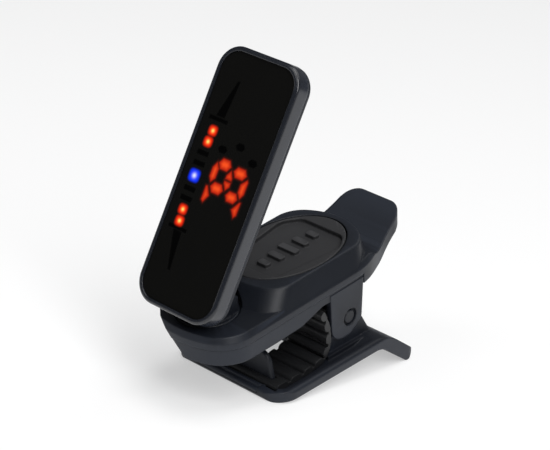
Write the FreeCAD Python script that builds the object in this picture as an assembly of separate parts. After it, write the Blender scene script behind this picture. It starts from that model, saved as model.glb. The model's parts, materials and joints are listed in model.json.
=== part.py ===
import FreeCAD, Part
import math
import os

# Clip-on tuner, millimetres. It is drawn in three nested frames, all with +X to one side:
#   clip frame: y runs back along the lower arm's flat underside, z is up from that underside
#   arm frame:  y runs back along the upper arm's deck, z is the height above the deck
#   head frame: y runs up the display, z is its front normal, origin on the tilt axis
# settle() stands the finished clip on its front edge and its lever tip, origin at the base centre.

Vector = FreeCAD.Vector
X_AXIS = Vector(1, 0, 0)

# lower arm
LOWER_HALF = 19.95
LOWER_CORNER = 6.5
BASE_EDGE_R = 0.9
FLOOR_TOP = 1.5
RIM_TOP = 2.9
RIM_WIDTH = 2.0
FRONT_RIM = 2.3
CHANNEL_END = 43.0
CHANNEL_RAMP = (34.0, 45.0, 4.6)
EDGE_SOFT = 1.1
LEVER_BEND_TOP = (43.2, 3.0)
LEVER_BEND_LOW = (40.7, 0.0)
LEVER_SLOPE = 40.0
LEVER_LENGTH = 14.6
LEVER_THICK = 3.9
TIP_LOW_R = 1.7
WEB_INNER = 11.9
WEB_OUTER = 13.9
WEB_FOOT = 15.2
WINDOW = (4.0, 13.5, 25.0)

# front lip with its upright tongue
LIP_HALF = 11.7
TONGUE_FRONT = 4.8
TONGUE_BACK = 6.4
TONGUE_TOP = 10.5
TONGUE_BASE_HALF = 12.75
TONGUE_TOP_HALF = 11.0
LIP_PLAY = 0.2

# rubber grip strip: the places of the notches between its segments, side view
GRIP_HALF = 16.0
GRIP_NOTCHES = [(2.5, 2.2), (8.0, 2.2), (13.1, 2.1), (17.4, 2.4), (21.7, 3.4),
                (23.5, 6.9), (23.5, 11.0), (22.3, 14.9), (20.6, 18.2)]
GRIP_BACK = 0.6
GRIP_RISE = 1.3
GRIP_BAND = 0.4
GRIP_GAP = 0.95
SLIT_HALF = 2.8

# pivot
PIVOT = (31.75, 12.0)
PIN_R = 1.9
PIN_PLAY = 0.05
PIN_HALF = 15.7
PIN_RECESS_R = 2.5
PIN_RECESS_DEPTH = 0.8
SPRING_COIL_R = 3.4
SPRING_WIRE_R = 0.5
SPRING_TURNS = 6
SPRING_PITCH = 1.25
LOW_LEG = 8.5
HIGH_LEG = 6.0

# upper arm, arm frame
ARM_PITCH = 3.0
ARM_HEIGHT = 24.5
ARM_HALF = 16.0
ARM_TIP = -17.7
ARM_CORNER_R = 10.5
ARM_END_R = 26.0
DECK_INSET = 0.9
BELT = -1.6
PARTING = -3.4
ARM_WALL = 1.5
DECK_THICK = 1.5
SHELL_STEP = 0.25
JAW_ROOF = -5.2
ARM_SPLIT_END = 37.0
WAIST_START = 34.0
WAIST_FULL = 43.0
WAIST_NARROW = (11.1, 46.0)
WAIST_END = 57.0
TAB_HALF = 9.9
TAB_CORNER = 5.0
TAB_END = 60.9
LUG_INNER = 14.1
LUG_OUTER = 15.9
LUG_LOW = -19.4
FACET_CORNER = (-4.5, -18.2)
FACET_TURN = 43.0
FACET_LEAN = 36.0

# battery pod on the upper arm
POD_TOP = 4.4
POD_HALF = 13.4
POD_FRONT = 4.0
POD_REAR = 45.5
POD_FRONT_CORNER_R = 7.0
POD_FRONT_R = 30.0
POD_REAR_CORNER_R = 9.0
POD_REAR_R = 16.5
POD_EDGE = 0.45
POD_FOOT_HALF = 15.9
POD_FOOT_FRONT = -2.6
POD_FOOT_REAR = 47.6
COVER_CENTRE = 24.9
COVER_X = 12.45
COVER_Y = 18.15
COVER_GAP = 0.4
COVER_THICK = 2.0
COVER_PANEL_DEPTH = 1.2
MOTIF_PITCH = 4.7
MOTIF_WIDTH = 2.2
MOTIF_LENGTHS = (3.6, 5.0, 6.4, 5.0, 3.6)
CELL_R = 10.0
CELL_THICK = 3.2
CELL_LOW = -1.2

# swivel disc with the two ears that hold the head
SWIVEL_Y = -6.0
DISC_R = 8.4
DISC_GAP = 0.25
DISC_LOW = -0.65
DISC_TOP = 0.05
STEM_R = 4.0
GROOVE_R = 7.4
EAR_INNER = 3.9
EAR_OUTER = 6.8
TILT_AXIS = (-8.42, 4.55)
TILT_PIN_R = 1.1
EAR_TOP_R = 3.0

# display head, head frame
HEAD_LEAN = 33.8
HEAD_WIDTH = 27.2
HEAD_LENGTH = 69.0
HEAD_CORNER = 6.5
HEAD_BOTTOM = -5.3
HEAD_BACK = 3.3
HEAD_SEAM = 5.2
HEAD_FRONT = 9.5
HEAD_LIP = 1.3
HEAD_EDGE_R = 0.7
HEAD_WALL = 1.2
LENS_THICK = 1.1
LENS_INSET = 0.35
LENS_PLAY = 0.1
BARREL_R = 2.9
BARREL_HALF = 3.7
POWER_BUTTON = (0.0, 52.0, 3.4)
SMALL_BUTTONS = [(-5.5, 41.0, 2.0), (5.5, 41.0, 2.0)]
BUTTON_PROUD = 0.7
BUTTON_PLAY = 0.15
METER_X = -8.0
METER_CENTRE = 29.0
METER_PITCH = 3.03
NOTE_WINDOW = (-4.6, 9.9, 21.5, 42.0)
NOTE_PLAY = 0.1


# ---------------------------------------------------------------- helpers

def on_plan(u, v):
    return Vector(u, v, 0)


def on_side(u, v):
    return Vector(0, u, v)


def loop(corners, place):
    """Closed wire through (u, v, radius) corners, each rounded by its radius."""
    turns = []
    for index, (u, v, radius) in enumerate(corners):
        here = Vector(u, v, 0)
        before = Vector(corners[index - 1][0], corners[index - 1][1], 0) - here
        after_corner = corners[(index + 1) % len(corners)]
        after = Vector(after_corner[0], after_corner[1], 0) - here
        before.normalize()
        after.normalize()
        if radius == 0:
            turns.append((here, None, here))
            continue
        half = before.getAngle(after) / 2
        reach = radius / math.tan(half)
        inward = (before + after).normalize()
        middle = here + inward * (radius / math.sin(half) - radius)
        turns.append((here + before * reach, middle, here + after * reach))
    edges = []
    for index, (start, middle, end) in enumerate(turns):
        if middle is not None:
            edges.append(Part.Arc(place(start.x, start.y), place(middle.x, middle.y),
                                  place(end.x, end.y)).toShape())
        following = turns[(index + 1) % len(turns)][0]
        if (following - end).Length > 1e-5:
            edges.append(Part.LineSegment(place(end.x, end.y),
                                          place(following.x, following.y)).toShape())
    return Part.Wire(edges)


def both_sides(corners):
    """Corners of the +X half, front to back, followed by their mirror images."""
    return corners + [(-x, y, radius) for x, y, radius in reversed(corners)]


def plan_prism(corners, low, high):
    wire = loop(corners, on_plan)
    wire.translate(Vector(0, 0, low))
    return Part.Face(wire).extrude(Vector(0, 0, high - low))


def side_prism(corners, left, right):
    wire = loop(corners, on_side)
    wire.translate(Vector(left, 0, 0))
    return Part.Face(wire).extrude(Vector(right - left, 0, 0))


def wire_prism(wire, low, high):
    lifted = wire.copy()
    lifted.translate(Vector(0, 0, low))
    return Part.Face(lifted).extrude(Vector(0, 0, high - low))


def block(left, right, front, back, low, high):
    return Part.makeBox(right - left, back - front, high - low, Vector(left, front, low))


def upright(x, y, radius, low, high):
    return Part.makeCylinder(radius, high - low, Vector(x, y, low), Vector(0, 0, 1))


def crosswise(y, z, radius, left, right):
    return Part.makeCylinder(radius, right - left, Vector(left, y, z), X_AXIS)


def mirrored(shape):
    return shape.mirror(Vector(0, 0, 0), X_AXIS)


def pair(shape):
    return shape.fuse(mirrored(shape))


def soften(shape, radius, chosen):
    edges = [edge for edge in shape.Edges if chosen(edge)]
    return shape.makeFillet(radius, edges)


def group(shapes):
    return Part.makeCompound(shapes)


def arm_to_clip(shape):
    moved = shape.copy()
    moved.rotate(Vector(0, 0, 0), X_AXIS, ARM_PITCH)
    moved.translate(Vector(0, 0, ARM_HEIGHT))
    return moved


def clip_to_arm(y, z):
    """Where a clip-frame point lies in the arm frame."""
    point = FreeCAD.Rotation(X_AXIS, -ARM_PITCH).multVec(Vector(0, y, z - ARM_HEIGHT))
    return point.y, point.z


def head_to_arm(shape):
    moved = shape.copy()
    moved.rotate(Vector(0, 0, 0), X_AXIS, 90 - HEAD_LEAN)
    moved.translate(Vector(0, TILT_AXIS[0], TILT_AXIS[1]))
    return moved


# ---------------------------------------------------------------- lower arm

def lever_points():
    """Lever corners: low tip and high tip, from its bends, slope and thickness."""
    slope = math.radians(LEVER_SLOPE)
    along = (math.cos(slope), -math.sin(slope))
    high = (LEVER_BEND_TOP[0] + LEVER_LENGTH * along[0], LEVER_BEND_TOP[1] + LEVER_LENGTH * along[1])
    low = (high[0] - LEVER_THICK * math.sin(slope), high[1] - LEVER_THICK * math.cos(slope))
    return low, high


def web():
    profile = [(25.7, 1.0, 0), (43.2, 1.0, 0), (38.7, 8.6, 2.5), (35.9, 16.2, 3.8), (27.5, 16.2, 4.1)]
    return side_prism(profile, WEB_INNER, WEB_OUTER)


def web_foot():
    profile = [(24.0, 1.0, 0), (42.4, 1.0, 0), (41.6, 2.7, 0), (24.0, 2.7, 0)]
    return side_prism(profile, WEB_OUTER - 0.5, WEB_FOOT)


def rounded_rims(length):
    """Space under the plate's top whose long edges are rounded, seen from the front."""
    corners = [(-LOWER_HALF, -15, 0), (LOWER_HALF, -15, 0), (LOWER_HALF, RIM_TOP, EDGE_SOFT),
               (-LOWER_HALF, RIM_TOP, EDGE_SOFT)]
    wire = loop(corners, lambda x, z: Vector(x, 0, z))
    return Part.Face(wire).extrude(Vector(0, length, 0))


def channel_space():
    """Trough between the rims; its floor ramps up and runs out on the lever."""
    plan = both_sides([(LOWER_HALF - RIM_WIDTH, FRONT_RIM, LOWER_CORNER - RIM_WIDTH),
                       (LOWER_HALF - RIM_WIDTH, CHANNEL_END, 1.5)])
    start, end, height = CHANNEL_RAMP
    side = [(0, FLOOR_TOP, 0), (start, FLOOR_TOP, 12.0), (end, height, 0), (end, 10, 0), (0, 10, 0)]
    return plan_prism(plan, FLOOR_TOP, 10).common(side_prism(side, -LOWER_HALF, LOWER_HALF))


def lower_arm():
    low, high = lever_points()
    side = [(0, 0, BASE_EDGE_R), (LEVER_BEND_LOW[0], 0, 7.0), (low[0], low[1], TIP_LOW_R),
            (high[0], high[1], 1.8), (LEVER_BEND_TOP[0], LEVER_BEND_TOP[1], 13.0),
            (30.0, RIM_TOP, 0), (0, RIM_TOP, 1.3)]
    plan = both_sides([(LOWER_HALF, 0, LOWER_CORNER), (LOWER_HALF, high[0] + 1, 3.5)])
    arm = side_prism(side, -LOWER_HALF - 1, LOWER_HALF + 1).common(plan_prism(plan, -15, 10))
    arm = arm.common(rounded_rims(high[0] + 1))
    arm = arm.cut(channel_space())
    arm = arm.fuse([pair(web()), pair(web_foot())])
    arm = arm.cut(crosswise(PIVOT[0], PIVOT[1], PIN_R, -LOWER_HALF, LOWER_HALF))
    half, front, back = WINDOW
    arm = arm.cut(plan_prism(both_sides([(half, front, 1.5), (half, back, 1.5)]), -1, 5))
    seat = block(-LIP_HALF - LIP_PLAY, LIP_HALF + LIP_PLAY, -1, FRONT_RIM + 0.3, 1.2, 5)
    arm = arm.cut(seat)
    slot = block(-16.5, -LIP_HALF - 1.2, FRONT_RIM - 0.4, FRONT_RIM + 0.6, 1.2, 5)
    arm = arm.cut(slot).cut(mirrored(slot))
    under_tongue = block(-TONGUE_BASE_HALF - 0.1, TONGUE_BASE_HALF + 0.1, TONGUE_FRONT - 0.1,
                         TONGUE_BACK + 0.1, 1.2, 2)
    arm = arm.cut(under_tongue)
    arm = arm.cut(block(-LIP_HALF - 0.1, LIP_HALF + 0.1, 1, TONGUE_BACK, 1.2, 2))
    return arm.removeSplitter()


def front_lip():
    hook = side_prism([(0.0, 1.3, 0), (TONGUE_BACK, 1.3, 0), (TONGUE_BACK, 1.8, 0),
                       (FRONT_RIM + 0.1, 1.8, 0), (FRONT_RIM + 0.1, RIM_TOP, 0.4),
                       (1.4, RIM_TOP, 0.3), (1.2, 2.3, 0.2), (0, 2.3, 0.7)], -LIP_HALF, LIP_HALF)
    tongue_front = [(TONGUE_BASE_HALF, 1.3, 0), (TONGUE_BASE_HALF, 3.0, 3.0),
                    (TONGUE_TOP_HALF, TONGUE_TOP, 3.4)]
    outline = both_sides(tongue_front)
    wire = loop(outline, lambda x, z: Vector(x, TONGUE_FRONT, z))
    tongue = Part.Face(wire).extrude(Vector(0, TONGUE_BACK - TONGUE_FRONT, 0))
    tongue = soften(tongue, 0.6, lambda edge: edge.BoundBox.ZMin > 3.5)
    return hook.fuse(tongue).removeSplitter()


def grip_segment(start, end):
    along = Vector(end[0] - start[0], end[1] - start[1], 0)
    along.normalize()
    inward = Vector(-along.y, along.x, 0)
    first = Vector(start[0], start[1], 0) + along * (GRIP_GAP / 2)
    last = Vector(end[0], end[1], 0) - along * (GRIP_GAP / 2)
    corners = [first - inward * GRIP_BACK, last - inward * GRIP_BACK,
               last + inward * GRIP_RISE, first + inward * GRIP_RISE]
    radii = (0.25, 0.25, 1.15, 1.15)
    profile = [(corner.x, corner.y, radius) for corner, radius in zip(corners, radii)]
    return side_prism(profile, -GRIP_HALF, GRIP_HALF)


def grip_strip():
    """C-shaped rubber strip: a thin band with thick cross segments, open at the front."""
    segments = [grip_segment(a, b) for a, b in zip(GRIP_NOTCHES, GRIP_NOTCHES[1:])]
    strip = segments[0].fuse(segments[1:])
    for start, end in zip(GRIP_NOTCHES, GRIP_NOTCHES[1:]):
        along = Vector(end[0] - start[0], end[1] - start[1], 0)
        along.normalize()
        inward = Vector(-along.y, along.x, 0)
        first = Vector(start[0], start[1], 0) + along * 0.3
        last = Vector(end[0], end[1], 0) + along * 0.3
        if end == GRIP_NOTCHES[-1]:
            last = Vector(end[0], end[1], 0) - along * 0.5
        band = [first - inward * GRIP_BAND, last - inward * GRIP_BAND,
                last + inward * GRIP_BAND, first + inward * GRIP_BAND]
        profile = [(corner.x, corner.y, 0) for corner in band]
        strip = strip.fuse(side_prism(profile, -GRIP_HALF, GRIP_HALF))
    strip = strip.cut(block(-TONGUE_BASE_HALF - 0.15, TONGUE_BASE_HALF + 0.15,
                            TONGUE_FRONT - 0.1, TONGUE_BACK + 0.15, 0, 8))
    strip = strip.cut(block(-LIP_HALF - 0.15, LIP_HALF + 0.15, 1.0, TONGUE_BACK, 0, 1.85))
    strip = strip.cut(block(-SLIT_HALF, SLIT_HALF, 9.4, 22.6, 0, 6))
    strip = strip.common(block(-20, 20, FRONT_RIM + 0.15, 30, FLOOR_TOP + 0.02, 30))
    return strip.removeSplitter()


def pivot_pin():
    pin = crosswise(PIVOT[0], PIVOT[1], PIN_R, -PIN_HALF, PIN_HALF)
    return soften(pin, 0.3, lambda edge: abs(edge.BoundBox.XMin) > PIN_HALF - 0.1
                  and edge.BoundBox.XLength < 0.1)


def torsion_spring():
    """Coil round the pin; its two legs push the lever and the tab apart."""
    height = SPRING_TURNS * SPRING_PITCH
    helix = Part.makeHelix(SPRING_PITCH, height, SPRING_COIL_R)
    ring = Part.Wire([Part.Circle(Vector(SPRING_COIL_R, 0, 0), Vector(0, 1, 0),
                                  SPRING_WIRE_R).toShape()])
    coil = Part.Wire(helix.Edges).makePipeShell([ring], True, True)
    coil.rotate(Vector(0, 0, 0), Vector(0, 1, 0), 90)
    coil.translate(Vector(-height / 2, PIVOT[0], PIVOT[1]))
    low_start = Vector(-height / 2, PIVOT[0], PIVOT[1] - SPRING_COIL_R)
    high_start = Vector(height / 2, PIVOT[0], PIVOT[1] + SPRING_COIL_R)
    low_leg = Part.makeCylinder(SPRING_WIRE_R, LOW_LEG, low_start, Vector(0, 1, -0.72))
    high_leg = Part.makeCylinder(SPRING_WIRE_R, HIGH_LEG, high_start, Vector(0, 0.77, 1))
    return group([coil, low_leg, high_leg])


# ---------------------------------------------------------------- upper arm

def round_end(half, tip, corner_radius, end_radius, direction):
    """Three tangent arcs across an outline's end, and the y where its straight sides meet them."""
    reach = half - corner_radius
    spread = end_radius - corner_radius
    end_centre = tip - direction * end_radius
    corner_centre = end_centre + direction * math.sqrt(spread ** 2 - reach ** 2)
    toward = Vector(reach / spread, (corner_centre - end_centre) / spread, 0)
    join = Vector(0, end_centre, 0) + toward * end_radius
    half_way = (toward + X_AXIS).normalize()
    bulge = Vector(reach, corner_centre, 0) + half_way * corner_radius
    corner = Part.Arc(Vector(half, corner_centre, 0), bulge, join).toShape()
    opposite = Part.Arc(Vector(-half, corner_centre, 0), Vector(-bulge.x, bulge.y, 0),
                        Vector(-join.x, join.y, 0)).toShape()
    middle = Part.Arc(join, Vector(0, tip, 0), Vector(-join.x, join.y, 0)).toShape()
    return [corner, middle, opposite], corner_centre


def bezier(points):
    curve = Part.BezierCurve()
    curve.setPoles([Vector(x, y, 0) for x, y in points])
    return curve.toShape()


def line(start, end):
    return Part.LineSegment(Vector(start[0], start[1], 0), Vector(end[0], end[1], 0)).toShape()


def arm_outline(inset):
    """Plan of the upper arm: blunt nose, straight sides, waist and rear thumb tab."""
    half = ARM_HALF - inset
    tab = TAB_HALF - inset
    end = TAB_END - inset
    corner = TAB_CORNER - inset * 0.4
    nose, side_start = round_end(half, ARM_TIP + inset, ARM_CORNER_R - inset, ARM_END_R - inset, -1)
    edges = nose
    cut = corner * (1 - math.sqrt(0.5))
    for side in (-1, 1):
        waist = [(side * half, WAIST_START), (side * half, WAIST_FULL),
                 (side * (WAIST_NARROW[0] - inset), WAIST_NARROW[1]), (side * tab, WAIST_END)]
        arc = Part.Arc(Vector(side * tab, end - corner, 0), Vector(side * (tab - cut), end - cut, 0),
                       Vector(side * (tab - corner), end, 0)).toShape()
        run = [line((side * half, side_start), (side * half, WAIST_START)), bezier(waist),
               line((side * tab, WAIST_END), (side * tab, end - corner)), arc]
        if side == 1:
            run.reverse()
            edges.append(line((-(tab - corner), end), (tab - corner, end)))
        edges.extend(run)
    return Part.Wire(Part.sortEdges(edges)[0])


def pod_outline(half, front, rear):
    nose, front_join = round_end(half, front, POD_FRONT_CORNER_R, POD_FRONT_R, -1)
    tail, rear_join = round_end(half, rear, POD_REAR_CORNER_R, POD_REAR_R, 1)
    sides = [line((side * half, front_join), (side * half, rear_join)) for side in (-1, 1)]
    return Part.Wire(Part.sortEdges(nose + sides + tail)[0])


def lifted(wire, height):
    moved = wire.copy()
    moved.translate(Vector(0, 0, height))
    return moved


def ellipse_prism(half_x, half_y, low, high):
    curve = Part.Ellipse(Vector(0, COVER_CENTRE, low), half_y, half_x)
    edge = curve.toShape()
    edge.rotate(Vector(0, COVER_CENTRE, low), Vector(0, 0, 1), 90)
    return Part.Face(Part.Wire([edge])).extrude(Vector(0, 0, high - low))


def arm_screw_places():
    return [(side * 11.2, y) for side in (-1, 1) for y in (-2.0, 11.0)]


def nose_facet(depth=0.0):
    """Space outside the sloping facet across the nose's -X corner, moved inward by depth."""
    space = block(-40, 40, -40, depth, -40, 40)
    space.rotate(Vector(0, 0, 0), X_AXIS, FACET_LEAN)
    space.rotate(Vector(0, 0, 0), Vector(0, 0, 1), -FACET_TURN)
    space.translate(Vector(FACET_CORNER[0], FACET_CORNER[1], 0))
    return space


def arm_top_shell():
    low_part = wire_prism(arm_outline(0), -7.0, BELT)
    bevel = Part.makeLoft([lifted(arm_outline(0), BELT), lifted(arm_outline(DECK_INSET), 0)], True, True)
    tab = wire_prism(arm_outline(0), -7.0, 6.0).common(block(-20, 20, 47.0, 70, -8, 8))
    side = [(-19, PARTING, 0), (-19, 0, 0), (42.0, 0, 5.0), (46.8, -3.2, 6.0), (62.0, 4.85, 0),
            (63.5, 1.7, 0), (48.3, -6.4, 8.0), (ARM_SPLIT_END, -6.4, 0), (ARM_SPLIT_END, PARTING, 0)]
    shell = low_part.fuse([bevel, tab]).common(side_prism(side, -20, 20))
    edge = POD_EDGE
    foot = pod_outline(POD_FOOT_HALF, POD_FOOT_FRONT, POD_FOOT_REAR)
    brow = pod_outline(POD_HALF + 0.15, POD_FRONT - 0.35, POD_REAR + 0.15)
    bend = pod_outline(POD_HALF - 0.1, POD_FRONT + 0.1, POD_REAR - 0.1)
    crown = pod_outline(POD_HALF - edge, POD_FRONT + edge, POD_REAR - edge)
    pod = Part.makeLoft([lifted(foot, BELT), lifted(brow, POD_TOP - edge),
                         lifted(bend, POD_TOP - 0.12), lifted(crown, POD_TOP)], True, True)
    rear_fill = wire_prism(foot, PARTING, BELT)
    rear_fill = rear_fill.common(block(-20, 20, 40, 50, -8, 8)).common(wire_prism(arm_outline(0.3), -8, 8))
    pod = pod.cut(upright(0, SWIVEL_Y, DISC_R + 0.6, -5, 10))
    shell = shell.fuse([pod, rear_fill])
    inner = wire_prism(arm_outline(ARM_WALL + 0.4), -8, -DECK_THICK).common(
        block(-20, 20, -30, ARM_SPLIT_END - 1.5, PARTING - 1, -DECK_THICK))
    bosses = [upright(x, y, 2.2, -8, 0) for x, y in arm_screw_places()]
    shell = shell.cut(inner.cut(bosses[0].fuse(bosses[1:] + [nose_facet(ARM_WALL)])))
    shell = shell.cut(nose_facet())
    shell = shell.cut(upright(0, COVER_CENTRE, CELL_R + 0.4, -5, POD_TOP - COVER_THICK))
    shell = shell.cut(ellipse_prism(COVER_X - 1.4, COVER_Y - 1.6, POD_TOP - COVER_THICK - 1.6, POD_TOP))
    shell = shell.cut(ellipse_prism(COVER_X + COVER_GAP, COVER_Y + COVER_GAP,
                                    POD_TOP - COVER_THICK, POD_TOP + 1))
    shell = shell.cut(upright(0, SWIVEL_Y, DISC_R + DISC_GAP, DISC_LOW, 3))
    shell = shell.cut(upright(0, SWIVEL_Y, STEM_R + PIN_PLAY, -3, 1))
    for x, y in arm_screw_places():
        shell = shell.cut(upright(x, y, 0.8, -5, -1.2))
    return shell.removeSplitter()


def lug():
    profile = [(23.6, JAW_ROOF + 1, 0), (23.9, LUG_LOW, 4.5), (31.0, LUG_LOW, 3.0),
               (35.6, LUG_LOW + 3.1, 2.0),
               (36.6, JAW_ROOF + 1, 0)]
    return side_prism(profile, LUG_INNER, LUG_OUTER)


def arm_bottom_shell():
    side = [(-19, PARTING, 0), (-19, -7.9, 0), (3.0, -8.2, 8), (12.6, -8.0, 6), (20.6, -5.75, 5),
            (ARM_SPLIT_END, -6.4, 0), (ARM_SPLIT_END, PARTING, 0)]
    shell = wire_prism(arm_outline(SHELL_STEP), -9, PARTING).common(side_prism(side, -20, 20))
    under = wire_prism(arm_outline(SHELL_STEP + ARM_WALL), -9, JAW_ROOF).common(
        block(-20, 20, -30, 36.0, -9, JAW_ROOF))
    shell = shell.cut(under.cut(nose_facet(ARM_WALL))).cut(nose_facet())
    shell = shell.fuse(pair(lug()))
    pin_y, pin_z = clip_to_arm(*PIVOT)
    shell = shell.cut(crosswise(pin_y, pin_z, PIN_R + PIN_PLAY, -20, 20))
    shell = shell.cut(pair(crosswise(pin_y, pin_z, PIN_RECESS_R, LUG_OUTER - PIN_RECESS_DEPTH, 20)))
    for x, y in arm_screw_places():
        shell = shell.cut(upright(x, y, 0.95, -9, 0))
        shell = shell.cut(upright(x, y, 1.8, -9, JAW_ROOF + 0.9))
    return shell.removeSplitter()


def arm_screws():
    screws = []
    for x, y in arm_screw_places():
        head = upright(x, y, 1.6, JAW_ROOF - 0.1, JAW_ROOF + 0.9)
        cross = block(x - 0.9, x + 0.9, y - 0.2, y + 0.2, JAW_ROOF - 0.2, JAW_ROOF + 0.4)
        cross = cross.fuse(block(x - 0.2, x + 0.2, y - 0.9, y + 0.9, JAW_ROOF - 0.2, JAW_ROOF + 0.4))
        screws.append(head.fuse(upright(x, y, 0.8, JAW_ROOF + 0.8, -1.3)).cut(cross))
    return group(screws)


def upper_pad():
    """Ribbed rubber pad under the nose that meets the strip's side of the jaw."""
    outline = both_sides([(8.5, -6.8, 2.5), (8.5, 17.0, 2.5)])
    pad = plan_prism(outline, JAW_ROOF - 1.0, JAW_ROOF)
    ribs = []
    for index in range(7):
        y = -5.4 + index * 3.3
        profile = [(y, JAW_ROOF - 0.8, 0), (y, JAW_ROOF - 1.8, 0.4), (y + 1.8, JAW_ROOF - 1.8, 0.4),
                   (y + 1.8, JAW_ROOF - 0.8, 0)]
        ribs.append(side_prism(profile, -7.5, 7.5))
    return pad.fuse(ribs).removeSplitter()


def battery_cover():
    cover = ellipse_prism(COVER_X, COVER_Y, POD_TOP - COVER_THICK + 0.02, POD_TOP)
    panel = both_sides([(7.7, 10.7, 3.0), (10.7, 33.4, 5.0), (7.2, 38.4, 3.0)])
    floor = POD_TOP - COVER_PANEL_DEPTH
    cover = cover.cut(plan_prism(panel, floor, POD_TOP + 1))
    cover = soften(cover, 0.2, lambda edge: edge.BoundBox.ZMin > POD_TOP - 0.01)
    bars = []
    for index, length in enumerate(MOTIF_LENGTHS):
        y = COVER_CENTRE + (index - 2) * MOTIF_PITCH
        corners = both_sides([(length / 2, y - MOTIF_WIDTH / 2, 0.6), (length / 2, y + MOTIF_WIDTH / 2, 0.6)])
        bars.append(plan_prism(corners, floor - 0.1, floor + 0.9))
    return cover.fuse(bars).removeSplitter()


def coin_cell():
    cell = upright(0, COVER_CENTRE, CELL_R - 0.9, CELL_LOW, CELL_LOW + 0.6)
    cell = cell.fuse(upright(0, COVER_CENTRE, CELL_R, CELL_LOW + 0.6, CELL_LOW + CELL_THICK))
    return soften(cell, 0.3, lambda edge: edge.BoundBox.ZMin > CELL_LOW + CELL_THICK - 0.01)


def contact_minus():
    plate = block(-4.0, 4.0, COVER_CENTRE - 5, COVER_CENTRE + 8, PARTING, PARTING + 0.3)
    leaf = side_prism([(COVER_CENTRE - 5, PARTING + 0.1, 0), (COVER_CENTRE + 2, CELL_LOW - 0.3, 0.5),
                       (COVER_CENTRE + 5, CELL_LOW - 0.9, 0), (COVER_CENTRE + 5, CELL_LOW - 0.6, 0),
                       (COVER_CENTRE + 2, CELL_LOW, 0.5), (COVER_CENTRE - 5, PARTING + 0.4, 0)], -1.5, 1.5)
    return plate.fuse(leaf).removeSplitter()


def contact_plus():
    foot = block(-1.2, 1.2, COVER_CENTRE + CELL_R + 0.02, COVER_CENTRE + CELL_R + 0.32, PARTING, 2.0)
    base = block(-1.2, 1.2, COVER_CENTRE + CELL_R - 2.0, COVER_CENTRE + CELL_R + 0.32, PARTING, PARTING + 0.3)
    return foot.fuse(base).removeSplitter()


def piezo_sensor():
    disc = upright(0, 4.5, 5.0, PARTING, PARTING + 0.25)
    ceramic = upright(0, 4.5, 3.6, PARTING + 0.25, PARTING + 0.5)
    return disc.fuse(ceramic)


# ---------------------------------------------------------------- swivel

def swivel_disc():
    disc = upright(0, SWIVEL_Y, DISC_R, DISC_LOW + 0.05, DISC_TOP)
    disc = soften(disc, 0.25, lambda edge: edge.BoundBox.ZMin > DISC_TOP - 0.01)
    groove = upright(0, SWIVEL_Y, GROOVE_R, DISC_TOP - 0.15, 1)
    groove = groove.cut(upright(0, SWIVEL_Y, GROOVE_R - 0.25, -1, 2))
    disc = disc.cut(groove)
    stem = upright(0, SWIVEL_Y, STEM_R, -1.9, 0)
    axis_y, axis_z = TILT_AXIS
    top = axis_z + EAR_TOP_R
    ear_side = [(axis_y - 3.3, -0.2, 0), (axis_y - 2.85, top, 2.8), (-5.0, top, 3.0), (1.2, 2.1, 3.0),
                (2.2, -0.2, 0)]
    ear = side_prism(ear_side, EAR_INNER, EAR_OUTER).common(upright(0, SWIVEL_Y, DISC_R - 0.35, -1, 12))
    body = disc.fuse([stem, pair(ear)])
    body = body.cut(upright(0, SWIVEL_Y, 0.8, -3, -0.2))
    body = body.cut(crosswise(axis_y, axis_z, TILT_PIN_R, -6.0, 6.0))
    return body.removeSplitter()


def hinge_pin():
    return crosswise(TILT_AXIS[0], TILT_AXIS[1], TILT_PIN_R, -5.9, 5.9)


def spring_washer():
    ring = upright(0, SWIVEL_Y, 6.0, -1.85, -1.55)
    return ring.cut(upright(0, SWIVEL_Y, STEM_R + 0.1, -3, 0))


def retaining_washer():
    ring = upright(0, SWIVEL_Y, 6.0, -2.3, -1.92)
    return ring.cut(upright(0, SWIVEL_Y, 0.85, -3, 0))


def swivel_screw():
    head = upright(0, SWIVEL_Y, 2.0, -3.2, -2.32)
    return head.fuse(upright(0, SWIVEL_Y, 0.78, -2.4, -0.4))


# ---------------------------------------------------------------- head

def head_plan(inset, low, high):
    half = HEAD_WIDTH / 2 - inset
    corner = HEAD_CORNER - inset
    corners = both_sides([(half, HEAD_BOTTOM + inset, corner),
                          (half, HEAD_BOTTOM + HEAD_LENGTH - inset, corner)])
    return plan_prism(corners, low, high)


def head_screw_places():
    return [(side * 9.6, y) for side in (-1, 1) for y in (4.0, 57.5)]


def head_front_frame():
    frame = head_plan(0, HEAD_SEAM, HEAD_FRONT)
    frame = soften(frame, HEAD_EDGE_R, lambda edge: edge.BoundBox.ZMin > HEAD_FRONT - 0.01)
    frame = frame.cut(head_plan(HEAD_LIP, HEAD_FRONT - LENS_THICK - LENS_INSET, HEAD_FRONT + 1))
    frame = frame.cut(head_plan(HEAD_LIP + 0.8, HEAD_SEAM - 1, HEAD_FRONT))
    return frame.removeSplitter()


def lens():
    top = HEAD_FRONT - LENS_INSET
    plate = head_plan(HEAD_LIP + LENS_PLAY, top - LENS_THICK, top)
    return soften(plate, 0.2, lambda edge: edge.BoundBox.ZMin > top - 0.01)


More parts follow.
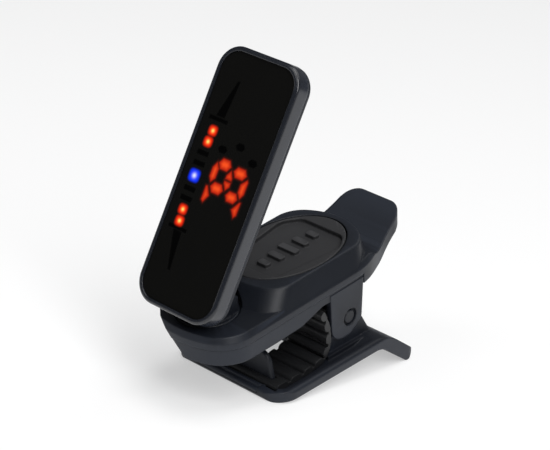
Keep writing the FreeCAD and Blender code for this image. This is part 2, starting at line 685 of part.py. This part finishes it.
def rear_cover():
    cover = head_plan(0.15, HEAD_BACK, HEAD_SEAM)
    cover = soften(cover, 1.2, lambda edge: edge.BoundBox.ZMax < HEAD_BACK + 0.01)
    cover = cover.cut(head_plan(HEAD_WALL + 0.8, HEAD_BACK + 1.0, HEAD_SEAM + 1))
    barrel = crosswise(0, 0, BARREL_R, -BARREL_HALF, BARREL_HALF)
    neck = block(-BARREL_HALF, BARREL_HALF, -BARREL_R, BARREL_R, 0, HEAD_BACK + 0.6)
    bosses = [upright(x, y, 1.6, HEAD_BACK + 0.5, HEAD_SEAM) for x, y in head_screw_places()]
    cover = cover.fuse([barrel, neck] + bosses)
    cover = cover.cut(crosswise(0, 0, TILT_PIN_R + PIN_PLAY, -5, 5))
    for x, y, radius in [POWER_BUTTON] + SMALL_BUTTONS:
        cover = cover.cut(upright(x, y, radius + BUTTON_PLAY, 0, 5))
    for x, y in head_screw_places():
        cover = cover.cut(upright(x, y, 0.8, 0, 6))
        cover = cover.cut(upright(x, y, 1.3, 0, HEAD_BACK + 0.7))
    return cover.removeSplitter()


def head_screws():
    screws = []
    for x, y in head_screw_places():
        head = upright(x, y, 1.2, HEAD_BACK + 0.05, HEAD_BACK + 0.7)
        slot = block(x - 0.7, x + 0.7, y - 0.15, y + 0.15, HEAD_BACK, HEAD_BACK + 0.35)
        slot = slot.fuse(block(x - 0.15, x + 0.15, y - 0.7, y + 0.7, HEAD_BACK, HEAD_BACK + 0.35))
        screws.append(head.fuse(upright(x, y, 0.7, HEAD_BACK + 0.6, HEAD_SEAM)).cut(slot))
    return group(screws)


def circuit_board():
    board = head_plan(HEAD_LIP + 1.0, HEAD_SEAM + 0.02, HEAD_SEAM + 0.82)
    for x, y in head_screw_places():
        board = board.cut(upright(x, y, 0.9, 0, 9))
    return board


def segment_mask():
    base = HEAD_SEAM + 0.85
    top = HEAD_FRONT - LENS_INSET - LENS_THICK - 0.02
    mask = head_plan(HEAD_LIP + 1.0, base, top)
    mask = mask.cut(display_block(NOTE_PLAY, base - 1, top + 1))
    for x, y in meter_places():
        mask = mask.cut(block(x - 1.0, x + 1.0, y - 1.25, y + 1.25, base - 1, top + 1))
    return mask


def meter_places():
    """Pitch meter down one side: a centre light and four on each side of it."""
    return [(METER_X, METER_CENTRE + step * METER_PITCH) for step in range(-4, 5)]


def display_block(grow, low, high):
    left, right, bottom, top = NOTE_WINDOW
    return block(left - grow, right + grow, bottom - grow, top + grow, low, high)


def note_display():
    """Segment display block behind the note letter."""
    return display_block(0, HEAD_SEAM + 0.85, HEAD_FRONT - LENS_INSET - LENS_THICK - 0.02)


def meter_lights():
    base = HEAD_SEAM + 0.85
    top = HEAD_FRONT - LENS_INSET - LENS_THICK - 0.04
    return group([block(x - 0.95, x + 0.95, y - 1.2, y + 1.2, base, top) for x, y in meter_places()])


def controller_chip():
    return block(-3.5, 3.5, 22.0, 29.0, HEAD_BACK + 1.15, HEAD_SEAM)


def tact_switches():
    switches = []
    for button in [POWER_BUTTON] + SMALL_BUTTONS:
        x, y = button[:2]
        switches.append(block(x - 1.5, x + 1.5, y - 1.5, y + 1.5, HEAD_SEAM - 0.35, HEAD_SEAM))
    return group(switches)


def button(place):
    x, y, radius = place
    cap = upright(x, y, radius, HEAD_BACK - BUTTON_PROUD, HEAD_BACK + 1.05)
    cap = soften(cap, 0.35, lambda edge: edge.BoundBox.ZMax < HEAD_BACK - BUTTON_PROUD + 0.01)
    return cap


# ---------------------------------------------------------------- assembly

def rest_pitch():
    """Angle that brings the rounded front edge and the rounded lever tip to one level."""
    low, high = lever_points()
    slope = math.radians(LEVER_SLOPE)
    tip_y = low[0] + TIP_LOW_R * (math.sin(slope) - math.cos(slope))
    tip_z = low[1] + TIP_LOW_R * (math.sin(slope) + math.cos(slope))
    run = tip_y - BASE_EDGE_R
    drop = BASE_EDGE_R - tip_z
    span = math.hypot(run, drop)
    return math.degrees(math.atan2(drop, run) + math.asin((TIP_LOW_R - BASE_EDGE_R) / span))


CLIP_PARTS = {
    "lower_arm": lower_arm,
    "front_lip": front_lip,
    "grip_strip": grip_strip,
    "pivot_pin": pivot_pin,
    "torsion_spring": torsion_spring,
}
ARM_PARTS = {
    "arm_bottom_shell": arm_bottom_shell,
    "arm_top_shell": arm_top_shell,
    "upper_pad": upper_pad,
    "arm_screws": arm_screws,
    "battery_cover": battery_cover,
    "coin_cell": coin_cell,
    "contact_minus": contact_minus,
    "contact_plus": contact_plus,
    "piezo_sensor": piezo_sensor,
    "swivel_disc": swivel_disc,
    "hinge_pin": hinge_pin,
    "spring_washer": spring_washer,
    "retaining_washer": retaining_washer,
    "swivel_screw": swivel_screw,
}
HEAD_PARTS = {
    "head_front_frame": head_front_frame,
    "lens": lens,
    "rear_cover": rear_cover,
    "head_screws": head_screws,
    "circuit_board": circuit_board,
    "segment_mask": segment_mask,
    "note_display": note_display,
    "meter_lights": meter_lights,
    "controller_chip": controller_chip,
    "tact_switches": tact_switches,
}


def assembled():
    shapes = {}
    for name, make in CLIP_PARTS.items():
        shapes[name] = make()
    for name, make in ARM_PARTS.items():
        shapes[name] = arm_to_clip(make())
    for name, make in HEAD_PARTS.items():
        shapes[name] = arm_to_clip(head_to_arm(make()))
    buttons = [("power_button", POWER_BUTTON), ("flat_button", SMALL_BUTTONS[0]),
               ("mode_button", SMALL_BUTTONS[1])]
    for name, place in buttons:
        shapes[name] = arm_to_clip(head_to_arm(button(place)))
    return shapes


def settle(shapes):
    """Turn the clip to its rest pitch and put the origin under the middle of its box."""
    pitch = rest_pitch()
    for shape in shapes.values():
        shape.rotate(Vector(0, 0, 0), X_AXIS, pitch)
    whole = group(list(shapes.values())).optimalBoundingBox(True, False)
    offset = Vector(0, -(whole.YMin + whole.YMax) / 2, -whole.ZMin)
    for shape in shapes.values():
        shape.translate(offset)
    print("rest pitch %.3f, offset y %.3f z %.3f" % (pitch, offset.y, offset.z))
    print("size %.2f x %.2f x %.2f" % (whole.XLength, whole.YLength, whole.ZLength))


def main():
    os.makedirs("parts", exist_ok=True)
    shapes = assembled()
    settle(shapes)
    for name, shape in shapes.items():
        if not shape.isValid():
            print("not valid:", name)
        shape.exportStep("parts/%s.step" % name)


main()
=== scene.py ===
"""Looks of the clip-on tuner: materials, lit display, copies of the strip and spring, studio and camera.
"""
import json
import math

import bmesh
import bpy
import numpy as np
from mathutils import Matrix, Vector


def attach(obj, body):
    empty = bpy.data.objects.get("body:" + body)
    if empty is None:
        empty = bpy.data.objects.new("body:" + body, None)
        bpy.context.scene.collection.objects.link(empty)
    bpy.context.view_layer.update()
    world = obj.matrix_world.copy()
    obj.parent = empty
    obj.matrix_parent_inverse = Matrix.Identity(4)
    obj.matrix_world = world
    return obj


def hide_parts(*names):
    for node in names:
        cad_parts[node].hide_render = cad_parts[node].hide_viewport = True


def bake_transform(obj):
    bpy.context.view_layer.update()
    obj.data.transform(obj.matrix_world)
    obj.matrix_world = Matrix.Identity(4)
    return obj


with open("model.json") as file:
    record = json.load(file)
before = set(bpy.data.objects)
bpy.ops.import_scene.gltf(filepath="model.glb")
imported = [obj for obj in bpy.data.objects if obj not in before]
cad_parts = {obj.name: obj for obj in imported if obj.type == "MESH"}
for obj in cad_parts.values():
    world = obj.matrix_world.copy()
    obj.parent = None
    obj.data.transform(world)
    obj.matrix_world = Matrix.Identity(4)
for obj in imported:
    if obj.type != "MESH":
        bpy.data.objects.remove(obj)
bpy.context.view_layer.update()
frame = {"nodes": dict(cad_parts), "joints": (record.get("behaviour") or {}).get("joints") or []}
nodes = frame["nodes"]
joints = {joint["name"]: joint for joint in frame["joints"]}
MM = 0.001

# display head, from the part's own frame: it leans back from the swivel's axis
HEAD_LEAN = math.radians(33.8)
HEAD_HALF = 12.2
HEAD_LOW = -3.9
HEAD_HIGH = 62.3
LENS_TOP = 9.15
LENS_BACK = 8.05
LENS_CORNER = 5.1
GLOW_STEP = 0.2

# meter lights down the -X side of the display, millimetres in the head's plane
METER_BEND = 0.0042
METER_X = -8.1
METER_CENTRE = 29.0
METER_LIT = (41.2, 38.2, 20.0, 17.0)
METER_DARK = (35.1, 32.3, 25.5, 22.9)

# light of the display, linear colours: strokes of the note letter, then the two kinds of meter lamp
NOTE_BODY = (0.42, 0.010, 0.001)
NOTE_CORE = (0.50, 0.070, 0.010)
NOTE_HALO = (0.05, 0.002, 0.0)
RED_LAMP = {"half": (1.75, 1.65), "squareness": 3, "solid": 0.45, "spot": 0.22,
            "body": (0.95, 0.02, 0.0), "core": (0.5, 0.85, 0.18)}
BLUE_LAMP = {"half": (2.1, 1.95), "squareness": 3.4, "solid": 0.62, "spot": 0.40,
             "body": (0.0, 0.03, 0.95), "core": (0.80, 0.80, 0.5)}
LAMP_RIM = 1.02

# camera
CAMERA_AIM = Vector((-0.00056, -0.002315, 0.04094))
CAMERA_AZIMUTH = math.radians(40.07)
CAMERA_ELEVATION = math.radians(21.08)
CAMERA_ROLL = math.radians(7.17)
CAMERA_DISTANCE = 0.5459
CAMERA_LENS = 137.0
SENSOR_WIDTH = 36.0

# studio: a light has its place, aim, width and height in metres and its power in watts
WORLD_COLOUR = (0.95, 0.97, 1.0, 1)
WORLD_STRENGTH = 0.10
FLOOR_SIZE = 6
FLOOR_DARK = (0.56, 0.56, 0.56, 1)
FLOOR_LIGHT = (0.58, 0.58, 0.58, 1)
FLOOR_GLOW = 0.44
LIGHTS = {
    "key": ((-0.30, -0.70, 0.85), (0, 0, 0.04), (0.50, 0.50), 2.0),
    "side": ((0.62, -0.28, 0.70), (0, 0, 0.04), (0.40, 0.80), 6.0),
    "top": ((0.05, 0.05, 1.20), (0, 0, 0.04), (0.60, 0.60), 5.4),
    "back": ((0.1, 0.8, 0.7), (0, 0, 0.05), (0.8, 0.4), 1.6),
}

# plastics, rubber and lens, linear colours
ARM_COLOUR = (0.0066, 0.0080, 0.0118, 1)
ARM_LIGHT = (0.0102, 0.0124, 0.0178, 1)
COVER_COLOUR = (0.0200, 0.0200, 0.0215, 1)
COVER_LIGHT = (0.0290, 0.0290, 0.0310, 1)
HEAD_COLOUR = (0.0070, 0.0085, 0.0125, 1)
HEAD_LIGHT = (0.0110, 0.0130, 0.0185, 1)
RUBBER_COLOUR = (0.0070, 0.0075, 0.0085, 1)
RUBBER_LIGHT = (0.0115, 0.0120, 0.0135, 1)
DUST_COLOUR = (0.0160, 0.0160, 0.0160, 1)
LENS_COLOUR = (0.0040, 0.0040, 0.0037, 1)
LENS_LIGHT = (0.0052, 0.0051, 0.0046, 1)
LENS_DARK = (0.0004, 0.0004, 0.0004, 1)


# ---------------------------------------------------------------- materials

class Shader:
    """A material's node tree with short helpers."""

    def __init__(self, name):
        self.material = bpy.data.materials.new(name)
        self.material.use_nodes = True
        self.tree = self.material.node_tree
        self.surface = self.tree.nodes["Principled BSDF"]
        self.place = self.add("ShaderNodeTexCoord").outputs["Object"]

    def add(self, kind, **values):
        node = self.tree.nodes.new(kind)
        for key, value in values.items():
            setattr(node, key, value)
        return node

    def link(self, source, target):
        self.tree.links.new(source, target)

    def noise(self, scale, detail=3.0, roughness=0.5):
        node = self.add("ShaderNodeTexNoise")
        node.inputs["Scale"].default_value = scale
        node.inputs["Detail"].default_value = detail
        node.inputs["Roughness"].default_value = roughness
        self.link(self.place, node.inputs["Vector"])
        return node.outputs["Fac"]

    def pits(self, scale):
        node = self.add("ShaderNodeTexVoronoi")
        node.inputs["Scale"].default_value = scale
        self.link(self.place, node.inputs["Vector"])
        return node.outputs["Distance"]

    def spread(self, source, low, high):
        node = self.add("ShaderNodeMapRange")
        node.inputs["To Min"].default_value = low
        node.inputs["To Max"].default_value = high
        self.link(source, node.inputs["Value"])
        return node.outputs["Result"]

    def mix(self, factor, first, second):
        node = self.add("ShaderNodeMix", data_type="RGBA")
        self.link(factor, node.inputs["Factor"])
        for value, socket in ((first, node.inputs["A"]), (second, node.inputs["B"])):
            if isinstance(value, tuple):
                socket.default_value = value
            else:
                self.link(value, socket)
        return node.outputs["Result"]

    def bump(self, height, distance, strength=1.0, under=None):
        node = self.add("ShaderNodeBump")
        node.inputs["Strength"].default_value = strength
        node.inputs["Distance"].default_value = distance
        self.link(height, node.inputs["Height"])
        if under is not None:
            self.link(under, node.inputs["Normal"])
        return node.outputs["Normal"]

    def rounded(self, radius):
        node = self.add("ShaderNodeBevel", samples=6)
        node.inputs["Radius"].default_value = radius
        return node.outputs["Normal"]

    def edges(self):
        """Mask for a painted highlight: brighter where an edge turns sharply outward."""
        geometry = self.add("ShaderNodeNewGeometry")
        return self.spread_range(geometry.outputs["Pointiness"], 0.52, 0.60)

    def spread_range(self, source, start, end):
        node = self.add("ShaderNodeMapRange")
        node.inputs["From Min"].default_value = start
        node.inputs["From Max"].default_value = end
        self.link(source, node.inputs["Value"])
        return node.outputs["Result"]

    def drive(self, source, name):
        self.link(source, self.surface.inputs[name])

    def set(self, **values):
        for key, value in values.items():
            self.surface.inputs[key.replace("_", " ")].default_value = value


def moulded_plastic(name, dark, light, rough=(0.38, 0.48), grain=5200, depth=0.000012, edge=0.0006,
                    coat=0.0, shine=0.30):
    """Spark-eroded moulded plastic: fine grain, faint cloudiness, a painted highlight on sharp edges."""
    shader = Shader(name)
    cloud = shader.noise(90, 4, 0.6)
    colour = shader.mix(cloud, dark, light)
    fine = shader.noise(grain, 2, 0.5)
    # painted highlight: sharp outward edges get a lighter copy of the colour
    edge_highlight = tuple(min(1.0, value * 1.7) for value in light[:3]) + (1,)
    colour = shader.mix(shader.edges(), colour, edge_highlight)
    shader.drive(colour, "Base Color")
    shader.drive(shader.spread(shader.noise(260, 4, 0.6), rough[0], rough[1]), "Roughness")
    normal = shader.bump(fine, depth, 0.6, shader.rounded(edge))
    shader.drive(normal, "Normal")
    shader.set(Specular_IOR_Level=shine)
    if coat:
        shader.set(Coat_Weight=coat, Coat_Roughness=0.12)
    return shader.material


def rubber(name):
    shader = Shader(name)
    colour = shader.mix(shader.noise(140, 5, 0.65), RUBBER_COLOUR, RUBBER_LIGHT)
    dust = shader.spread_range(shader.noise(900, 3, 0.7), 0.62, 0.80)
    colour = shader.mix(dust, colour, DUST_COLOUR)
    shader.drive(colour, "Base Color")
    shader.drive(shader.spread(shader.noise(420, 4, 0.6), 0.40, 0.55), "Roughness")
    normal = shader.bump(shader.noise(3800, 3, 0.6), 0.00002, 0.7, shader.rounded(0.0002))
    shader.drive(normal, "Normal")
    shader.set(Specular_IOR_Level=0.5)
    return shader.material


def bare_metal(name, colour, rough=(0.22, 0.38)):
    """Drawn or stamped metal with fine scratches and dull patches."""
    shader = Shader(name)
    dull = tuple(value * 0.72 for value in colour[:3]) + (1,)
    shader.drive(shader.mix(shader.noise(600, 5, 0.7), colour, dull), "Base Color")
    shader.drive(shader.spread(shader.noise(1500, 4, 0.7), rough[0], rough[1]), "Roughness")
    shader.drive(shader.bump(shader.noise(5200, 2, 0.5), 0.000006, 0.5), "Normal")
    shader.set(Metallic=1.0)
    return shader.material


def board_material():
    shader = Shader("circuit_board")
    tracks = shader.spread_range(shader.pits(520), 0.30, 0.42)
    colour = shader.mix(tracks, (0.012, 0.09, 0.045, 1), (0.03, 0.17, 0.08, 1))
    shader.drive(colour, "Base Color")
    shader.drive(shader.bump(tracks, 0.00003, 0.6), "Normal")
    shader.set(Roughness=0.32)
    return shader.material


def chip_material(name, colour):
    shader = Shader(name)
    light = tuple(value * 1.6 for value in colour[:3]) + (1,)
    shader.drive(shader.mix(shader.noise(1800, 3, 0.6), colour, light), "Base Color")
    shader.drive(shader.bump(shader.noise(6000, 2, 0.5), 0.00001, 0.5), "Normal")
    shader.set(Roughness=0.55)
    return shader.material


def lamp_material(name, colour):
    shader = Shader(name)
    dim = tuple(value * 0.5 for value in colour[:3]) + (1,)
    shader.drive(shader.mix(shader.noise(900, 2, 0.5), dim, colour), "Base Color")
    shader.set(Roughness=0.4)
    return shader.material


def lens_material():
    """Smoked acrylic over lit segments: the light that comes through is kept as a colour of the mesh."""
    shader = Shader("smoked_lens")
    smoke = shader.mix(shader.noise(60, 3, 0.5), LENS_COLOUR, LENS_LIGHT)
    glow = shader.add("ShaderNodeAttribute", attribute_name="glow")
    shader.drive(shader.mix(glow.outputs["Alpha"], LENS_DARK, smoke), "Base Color")
    smear = shader.spread(shader.noise(120, 4, 0.6), 0.05, 0.11)
    shader.drive(smear, "Roughness")
    shader.drive(glow.outputs["Color"], "Emission Color")
    shader.set(Specular_IOR_Level=0.12, Emission_Strength=1.0)
    return shader.material


# ---------------------------------------------------------------- display

def head_matrix():
    """Head plane (x across, y up the display, z out of its face), millimetres, to the row frame."""
    axis = Vector(joints["head_swivel"]["axis"])
    tilt = Vector(joints["head_tilt"]["pos_m"])
    deck_pitch = math.atan2(-axis.y, axis.z)
    turn = deck_pitch + math.pi / 2 - HEAD_LEAN
    return Matrix.Translation(tilt) @ Matrix.Rotation(turn, 4, "X") @ Matrix.Scale(MM, 4)


def smooth_step(value, low, high):
    t = np.clip((value - low) / (high - low), 0, 1)
    return t * t * (3 - 2 * t)


def distance_to_polygon(x, y, corners):
    """Signed distance to a convex polygon given counter-clockwise, negative inside."""
    outside = np.full(x.shape, -1e9)
    for (ax, ay), (bx, by) in zip(corners, corners[1:] + corners[:1]):
        length = math.hypot(bx - ax, by - ay)
        outside = np.maximum(outside, ((x - ax) * (by - ay) - (y - ay) * (bx - ax)) / length)
    return outside


def hexagon(x, y, half, rise, point):
    """Flat lying segment with pointed ends."""
    return [(x - half, y), (x - half + point, y - rise), (x + half - point, y - rise), (x + half, y),
            (x + half - point, y + rise), (x - half + point, y + rise)]


def note_segments():
    """Strokes of the note letter A, each a convex outline in the head's plane."""
    left = -3.5
    right = 9.0
    return [
        hexagon(0.1, 34.5, 2.2, 1.5, 1.0),
        hexagon(5.6, 33.9, 2.3, 1.45, 1.0),
        hexagon(0.1, 28.2, 2.25, 1.45, 1.0),
        hexagon(5.5, 27.6, 2.1, 1.4, 0.9),
        [(left, 30.4), (left + 1.0, 29.0), (left + 2.2, 30.4), (left + 2.2, 33.0), (left + 1.0, 34.6),
         (left, 32.9)],
        [(right - 2.2, 29.4), (right - 0.9, 27.9), (right, 29.4), (right, 32.6), (right - 0.5, 33.3),
         (right - 2.2, 31.6)],
        [(1.6, 31.3), (3.8, 31.2), (3.8, 32.0), (2.7, 33.9), (1.6, 32.3)],
        [(1.6, 30.2), (2.8, 28.5), (3.9, 29.7), (3.8, 30.9), (1.6, 30.9)],
        [(left, 24.2), (left + 0.9, 23.6), (left + 2.2, 25.8), (left + 0.7, 28.1), (left, 28.0)],
        [(right - 2.3, 24.9), (right - 0.8, 23.0), (right, 23.9), (right, 27.3), (right - 0.5, 27.4)],
    ]


def tinted(amount, colour):
    return amount[..., None] * np.array(colour)


def lamp_glow(x, y, lamp):
    """Light of one meter lamp, a rounded square with a bright spot, at points measured from its middle."""
    power = lamp["squareness"]
    across = np.abs(x) / lamp["half"][0]
    along = np.abs(y) / lamp["half"][1]
    reach = (across ** power + along ** power) ** (1 / power)
    body = 1 - smooth_step(reach, lamp["solid"], LAMP_RIM)
    spot = np.exp(-(x ** 2 + y ** 2) / lamp["spot"])
    return tinted(body, lamp["body"]) + tinted(spot, lamp["core"])


def display_glow(x, y):
    """Linear colour of the light that comes through the lens at head-plane points."""
    glow = np.zeros(x.shape + (3,))
    for corners in note_segments():
        edge = distance_to_polygon(x, y, corners)
        body = 1 - smooth_step(edge, -0.35, 0.12)
        core = 1 - smooth_step(edge, -1.5, -0.1)
        halo = np.exp(-np.clip(edge, 0, None) ** 2 / 0.10)
        glow += tinted(body, NOTE_BODY) + tinted(body * core, NOTE_CORE) + tinted(halo, NOTE_HALO)
    for height in METER_LIT:
        centre = METER_X + METER_BEND * (height - METER_CENTRE) ** 2
        glow += lamp_glow(x - centre, y - height, RED_LAMP)
    return glow + lamp_glow(x - METER_X, y - METER_CENTRE, BLUE_LAMP)


def unlit_marks():
    """Outlines of the dark marks of the display: two arrows, bars of the meter, unlit strokes."""
    marks = [[(-8.2, 45.2), (-5.4, 45.2), (-4.6, 55.0), (-5.3, 55.0)],
             [(-10.2, 43.9), (-4.0, 43.9), (-4.0, 44.8), (-10.2, 44.8)],
             [(-5.6, 4.6), (-4.9, 4.6), (-5.6, 14.5), (-8.3, 14.5)],
             [(-10.4, 14.8), (-4.2, 14.8), (-4.2, 15.6), (-10.4, 15.6)]]
    for height in METER_DARK:
        low = height - 0.6
        high = height + 0.6
        marks.append([(-9.9, low), (-6.2, low), (-6.2, high), (-9.9, high)])
    for x, y in ((2.7, 40.0), (-2.4, 37.8), (8.1, 37.4)):
        marks.append(hexagon(x, y, 1.5, 0.9, 0.7))
    return marks


def display_clear(x, y):
    """One where the lens is clear, zero on its unlit marks."""
    clear = np.ones(x.shape)
    for corners in unlit_marks():
        clear = np.minimum(clear, smooth_step(distance_to_polygon(x, y, corners), -0.15, 0.25))
    return clear


def new_piece(name, mesh, material):
    piece = bpy.data.objects.new(name, mesh)
    bpy.context.scene.collection.objects.link(piece)
    mesh.materials.append(material)
    return piece


def lens_piece():
    """Lens plate with a fine grid on its face that carries the light of the display."""
    columns = int(round(2 * HEAD_HALF / GLOW_STEP))
    rows = int(round((HEAD_HIGH - HEAD_LOW) / GLOW_STEP))
    xs = np.linspace(-HEAD_HALF, HEAD_HALF, columns + 1)
    ys = np.linspace(HEAD_LOW, HEAD_HIGH, rows + 1)
    middle_y = (HEAD_LOW + HEAD_HIGH) / 2
    half_y = (HEAD_HIGH - HEAD_LOW) / 2
    grid_x, grid_y = np.meshgrid(xs, ys)
    over_x = np.abs(grid_x) - (HEAD_HALF - LENS_CORNER)
    over_y = np.abs(grid_y - middle_y) - (half_y - LENS_CORNER)
    corner = (over_x > 0) & (over_y > 0)
    radius = np.hypot(over_x, over_y)
    square = np.maximum(over_x, over_y)
    pull = square / np.maximum(radius, 1e-9)
    rounded_x = np.sign(grid_x) * (HEAD_HALF - LENS_CORNER + over_x * pull)
    rounded_y = middle_y + np.sign(grid_y - middle_y) * (half_y - LENS_CORNER + over_y * pull)
    grid_x = np.where(corner, rounded_x, grid_x)
    grid_y = np.where(corner, rounded_y, grid_y)
    colours = display_glow(grid_x, grid_y)
    mesh = bmesh.new()
    top = [[mesh.verts.new((grid_x[j, i], grid_y[j, i], LENS_TOP)) for i in range(columns + 1)]
           for j in range(rows + 1)]
    for j in range(rows):
        for i in range(columns):
            mesh.faces.new((top[j][i], top[j][i + 1], top[j + 1][i + 1], top[j + 1][i]))
    rim = [top[0][i] for i in range(columns)] + [top[j][columns] for j in range(rows)]
    rim += [top[rows][i] for i in range(columns, 0, -1)] + [top[j][0] for j in range(rows, 0, -1)]
    base = [mesh.verts.new((v.co.x, v.co.y, LENS_BACK)) for v in rim]
    for index in range(len(rim)):
        following = (index + 1) % len(rim)
        mesh.faces.new((rim[following], rim[index], base[index], base[following]))
    mesh.faces.new(list(reversed(base)))
    data = bpy.data.meshes.new("lens_face")
    mesh.to_mesh(data)
    mesh.free()
    flat = np.zeros((len(data.vertices), 4), np.float32)
    flat[:, 3] = 1
    flat[:grid_x.size, 3] = display_clear(grid_x, grid_y).ravel()
    flat[:grid_x.size, :3] = colours.reshape(-1, 3)
    attribute = data.color_attributes.new("glow", "FLOAT_COLOR", "POINT")
    attribute.data.foreach_set("color", flat.ravel())
    data.transform(head_matrix())
    piece = new_piece("lens_face", data, lens_material())
    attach(piece, "head")
    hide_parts("lens")


# ---------------------------------------------------------------- copied pieces

def flexing_copy(node, name, material):
    """A copy of a CAD piece with its own material; the CAD piece itself is hidden."""
    data = nodes[node].data.copy()
    data.materials.clear()
    piece = new_piece(name, data, material)
    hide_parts(node)
    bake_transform(piece)


# ---------------------------------------------------------------- studio

def area_light(name, place, aim, size, power):
    data = bpy.data.lights.new(name, "AREA")
    data.shape = "RECTANGLE"
    data.size = size[0]
    data.size_y = size[1]
    data.energy = power
    lamp = bpy.data.objects.new(name, data)
    bpy.context.scene.collection.objects.link(lamp)
    lamp.location = place
    lamp.rotation_euler = (Vector(aim) - Vector(place)).to_track_quat("-Z", "Y").to_euler()


def studio():
    world = bpy.data.worlds.new("studio")
    bpy.context.scene.world = world
    world.use_nodes = True
    background = world.node_tree.nodes["Background"]
    background.inputs["Color"].default_value = WORLD_COLOUR
    background.inputs["Strength"].default_value = WORLD_STRENGTH
    bpy.ops.mesh.primitive_plane_add(size=FLOOR_SIZE, location=(0, 0, 0))
    floor = bpy.context.object
    floor.name = "studio_floor"
    shader = Shader("studio_floor")
    shader.drive(shader.mix(shader.noise(3, 2, 0.5), FLOOR_DARK, FLOOR_LIGHT), "Base Color")
    shader.set(Roughness=0.8, Specular_IOR_Level=0.1, Emission_Color=(1, 1, 1, 1),
               Emission_Strength=FLOOR_GLOW)
    floor.data.materials.append(shader.material)
    for name, (place, aim, size, power) in LIGHTS.items():
        area_light(name, place, aim, size, power)


def picture_tones():
    settings = bpy.context.scene.view_settings
    settings.view_transform = "Standard"
    settings.look = "None"


def camera():
    data = bpy.data.cameras.new("camera")
    data.lens = CAMERA_LENS
    data.sensor_width = SENSOR_WIDTH
    data.clip_start = 0.01
    forward = Vector((-math.sin(CAMERA_AZIMUTH) * math.cos(CAMERA_ELEVATION),
                      math.cos(CAMERA_AZIMUTH) * math.cos(CAMERA_ELEVATION), -math.sin(CAMERA_ELEVATION)))
    level = Vector((math.cos(CAMERA_AZIMUTH), math.sin(CAMERA_AZIMUTH), 0))
    upward = level.cross(forward)
    right = level * math.cos(CAMERA_ROLL) + upward * math.sin(CAMERA_ROLL)
    up = upward * math.cos(CAMERA_ROLL) - level * math.sin(CAMERA_ROLL)
    view = bpy.data.objects.new("camera", data)
    bpy.context.scene.collection.objects.link(view)
    turn = Matrix((right, up, -forward)).transposed().to_4x4()
    view.matrix_world = Matrix.Translation(CAMERA_AIM - forward * CAMERA_DISTANCE) @ turn
    bpy.context.scene.camera = view


# ---------------------------------------------------------------- put together

arm = moulded_plastic("arm_plastic", ARM_COLOUR, ARM_LIGHT)
cover = moulded_plastic("cover_plastic", COVER_COLOUR, COVER_LIGHT, rough=(0.50, 0.60), grain=3600,
                        depth=0.00003)
head = moulded_plastic("head_plastic", HEAD_COLOUR, HEAD_LIGHT, rough=(0.20, 0.27), grain=7000,
                       depth=0.000004, coat=0.3, shine=0.45)
rear = moulded_plastic("rear_plastic", HEAD_COLOUR, HEAD_LIGHT, rough=(0.40, 0.48))
button = moulded_plastic("button_plastic", COVER_COLOUR, COVER_LIGHT, rough=(0.35, 0.42))
strip = rubber("grip_rubber")
steel = bare_metal("steel", (0.58, 0.58, 0.60, 1))
dark_steel = bare_metal("dark_steel", (0.16, 0.16, 0.17, 1), rough=(0.3, 0.45))
nickel = bare_metal("nickel", (0.72, 0.70, 0.66, 1), rough=(0.14, 0.26))
brass = bare_metal("brass", (0.72, 0.52, 0.22, 1))

MATERIALS = {
    arm: ("lower_arm", "front_lip", "pivot_pin", "arm_bottom_shell", "arm_top_shell", "swivel_disc"),
    cover: ("battery_cover",),
    head: ("head_front_frame",),
    rear: ("rear_cover",),
    button: ("power_button", "flat_button", "mode_button"),
    strip: ("upper_pad",),
    steel: ("hinge_pin", "spring_washer", "retaining_washer"),
    dark_steel: ("arm_screws", "head_screws", "swivel_screw"),
    nickel: ("coin_cell", "contact_minus", "contact_plus", "tact_switches"),
    brass: ("piezo_sensor",),
    board_material(): ("circuit_board",),
    chip_material("display_mask", (0.006, 0.006, 0.0065, 1)): ("segment_mask",),
    chip_material("chip_package", (0.012, 0.012, 0.013, 1)): ("controller_chip",),
    lamp_material("light_pipes", (0.85, 0.16, 0.04, 1)): ("note_display", "meter_lights"),
}
for material, names in MATERIALS.items():
    for name in names:
        mesh = nodes[name].data
        mesh.materials.clear()
        mesh.materials.append(material)

lens_piece()
flexing_copy("grip_strip", "rubber_strip", strip)
flexing_copy("torsion_spring", "jaw_spring", steel)

studio()
picture_tones()
camera()
